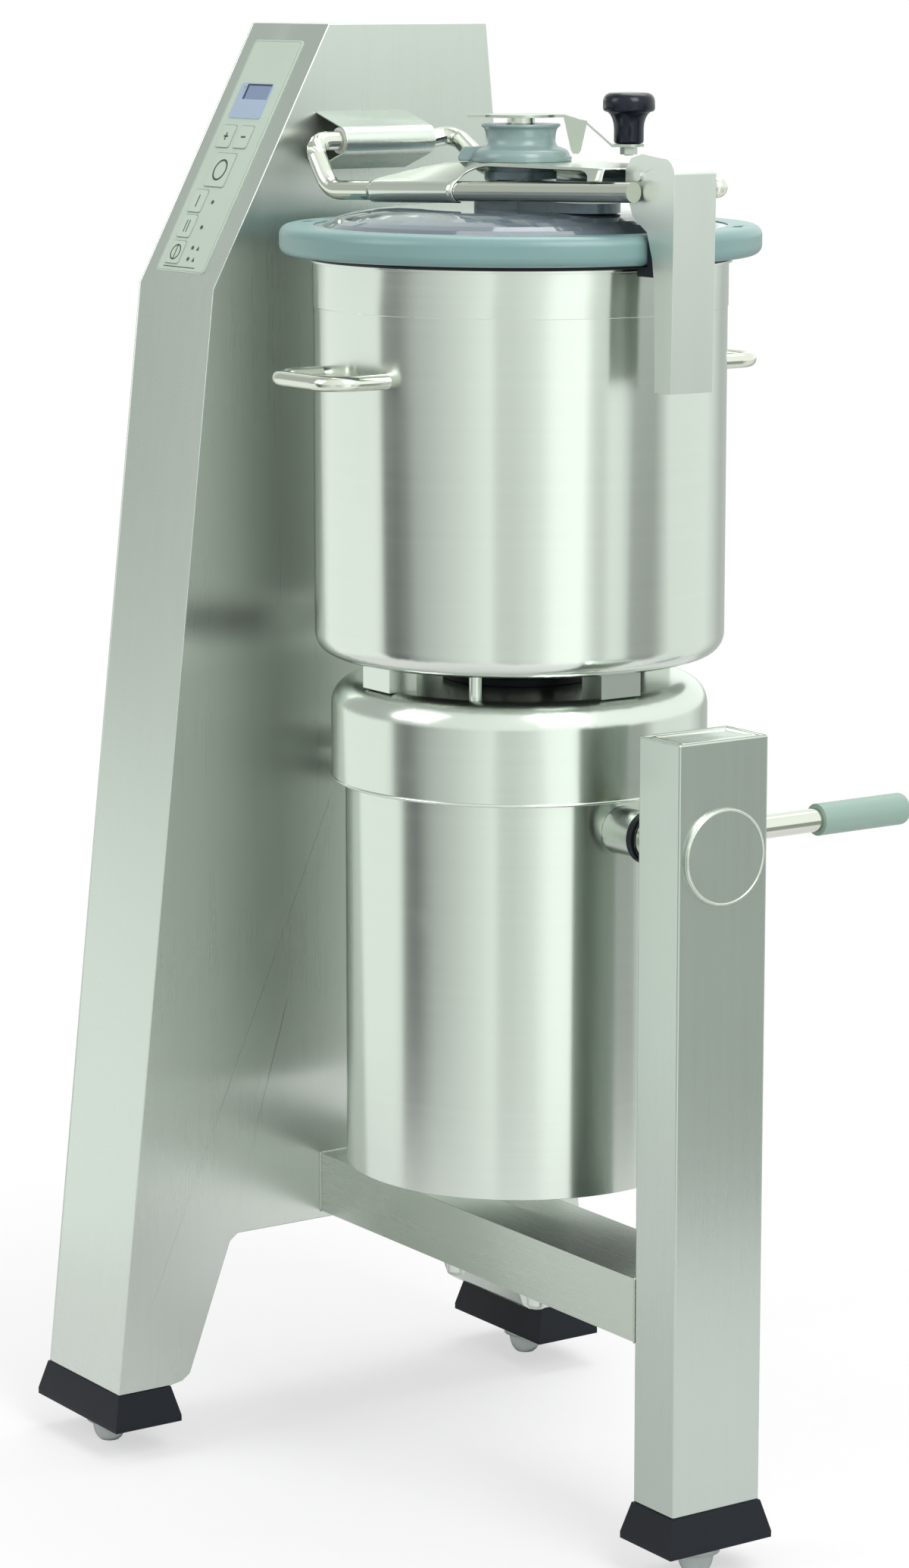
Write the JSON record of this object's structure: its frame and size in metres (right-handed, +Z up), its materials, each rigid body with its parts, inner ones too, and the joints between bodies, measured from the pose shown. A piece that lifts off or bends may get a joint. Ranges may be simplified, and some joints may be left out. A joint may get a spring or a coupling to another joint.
{
  "type": "commercial blender",
  "caption": "Floor-standing tilting commercial blender: column with panel, cross beam, post, tilting motor and bowl, hinged lid with crank wiper and latch.",
  "frame": {"origin": "floor level, below the middle of the bounding box", "axes": "+Z up, +X from the column towards the post, -Y towards the operator"},
  "size_m": [0.747, 0.586, 1.4],
  "materials": {
    "frame_steel": "brushed",
    "fastener_steel": "turned",
    "housing_steel": "brushed round the housing",
    "bowl_steel": "satin",
    "lid_steel": "satin",
    "grey_plastic": "satin",
    "black_rubber": "matte",
    "glide_plastic": "satin",
    "panel_film": "fine grain",
    "display_glass": "clear",
    "key_film": "fine grain",
    "lamp_lens": "clear",
    "board_green": "matte",
    "cast_aluminium": "cast",
    "bush_brass": "turned",
    "bush_plastic": "matte",
    "core_steel": "laminated",
    "bearing_steel": "ground",
    "shaft_steel": "ground",
    "fan_plastic": "matte",
    "blade_steel": "ground",
    "dome_clear": "clear moulding",
    "wiper_plastic": "satin",
    "knob_black": "gloss"
  },
  "bodies": {
    "stand": {"column_shell": "frame_steel", "column_cover": "frame_steel", "cover_screws": "fastener_steel", "control_panel": "panel_film", "display_window": "display_glass", "indicator_lights": "lamp_lens", "control_board": "board_green", "power_unit": "cast_aluminium", "cable_gland": "black_rubber", "pivot_block": "cast_aluminium", "tilt_bushes": "bush_brass", "cross_beam": "frame_steel", "beam_buffers": "frame_steel", "post_tube": "frame_steel", "post_cap": "frame_steel", "pivot_cap": "frame_steel", "leg_boots": "black_rubber", "post_boot": "black_rubber", "levelling_glides": "glide_plastic", "hinge_bracket": "frame_steel", "hinge_bushes": "bush_plastic"},
    "bowl_unit": {"housing_cap": "housing_steel", "motor_casing": "housing_steel", "base_plate": "cast_aluminium", "motor_flange": "cast_aluminium", "motor_frame": "cast_aluminium", "stator": "core_steel", "shaft_bearings": "bearing_steel", "tilt_shafts": "housing_steel", "boss_rings": "black_rubber", "tilt_lever": "housing_steel", "lever_grip": "grey_plastic", "bowl_seats": "housing_steel", "drive_seal": "black_rubber", "bowl": "bowl_steel", "bowl_handles": "bowl_steel"},
    "blade_drive": {"rotor_shaft": "shaft_steel", "cooling_fan": "fan_plastic", "blade_rotor": "blade_steel"},
    "lid": {"lid_ring": "grey_plastic", "lid_gasket": "black_rubber", "lid_dome": "dome_clear", "lid_hub": "grey_plastic", "hub_spool": "grey_plastic", "lid_frame": "lid_steel", "lid_saddle": "lid_steel"},
    "crank": {"wiper_shaft": "lid_steel", "lid_wiper": "wiper_plastic", "crank_arm": "lid_steel", "knob_screw": "fastener_steel"},
    "knob": {"crank_knob": "knob_black"},
    "latch": {"latch_lever": "lid_steel", "latch_pin": "fastener_steel", "latch_pad": "black_rubber"},
    "key_plus": {"key_plus": "key_film"},
    "key_minus": {"key_minus": "key_film"},
    "key_stop": {"key_stop": "key_film"},
    "key_speed_one": {"key_speed_one": "key_film"},
    "key_speed_two": {"key_speed_two": "key_film"},
    "key_pulse": {"key_pulse": "key_film"}
  },
  "joints": [
    {"name": "bowl_tilt", "type": "hinge", "parent": "stand", "child": "bowl_unit", "pos_m": [0.05, 0.002, 0.676], "axis": [1, 0, 0], "range_deg": [0, 67.5]},
    {"name": "lid_lift", "type": "hinge", "parent": "stand", "child": "lid", "pos_m": [-0.185, 0.002, 1.29], "axis": [0, -1, 0], "range_deg": [0, 90.1]},
    {"name": "blade_spin", "type": "hinge", "parent": "bowl_unit", "child": "blade_drive", "pos_m": [0.05, 0.002, 0.9], "axis": [0, 0, 1], "continuous": true},
    {"name": "crank_turn", "type": "hinge", "parent": "lid", "child": "crank", "pos_m": [0.05, 0.002, 1.3], "axis": [0, 0, 1], "continuous": true},
    {"name": "knob_turn", "type": "hinge", "parent": "crank", "child": "knob", "pos_m": [0.10607, 0.0842, 1.32], "axis": [0, 0, 1], "continuous": true},
    {"name": "latch_swing", "type": "hinge", "parent": "lid", "child": "latch", "pos_m": [0.263, 0.002, 1.272], "axis": [0, -1, 0], "range_deg": [0, 70]},
    {"name": "key_plus_press", "type": "slide", "parent": "stand", "child": "key_plus", "axis": [0, 0.8828, -0.4697], "range_m": [0, 0.0005], "stiffness_N_per_m": 400},
    {"name": "key_minus_press", "type": "slide", "parent": "stand", "child": "key_minus", "axis": [0, 0.8828, -0.4697], "range_m": [0, 0.0005], "stiffness_N_per_m": 400},
    {"name": "key_stop_press", "type": "slide", "parent": "stand", "child": "key_stop", "axis": [0, 0.8828, -0.4697], "range_m": [0, 0.0005], "stiffness_N_per_m": 400},
    {"name": "key_speed_one_press", "type": "slide", "parent": "stand", "child": "key_speed_one", "axis": [0, 0.8828, -0.4697], "range_m": [0, 0.0005], "stiffness_N_per_m": 400},
    {"name": "key_speed_two_press", "type": "slide", "parent": "stand", "child": "key_speed_two", "axis": [0, 0.8828, -0.4697], "range_m": [0, 0.0005], "stiffness_N_per_m": 400},
    {"name": "key_pulse_press", "type": "slide", "parent": "stand", "child": "key_pulse", "axis": [0, 0.8828, -0.4697], "range_m": [0, 0.0005], "stiffness_N_per_m": 400}
  ],
  "couplings": [
    {"joint": "lid_lift", "follows": "bowl_tilt", "ratio": 1.3333}
  ]
}
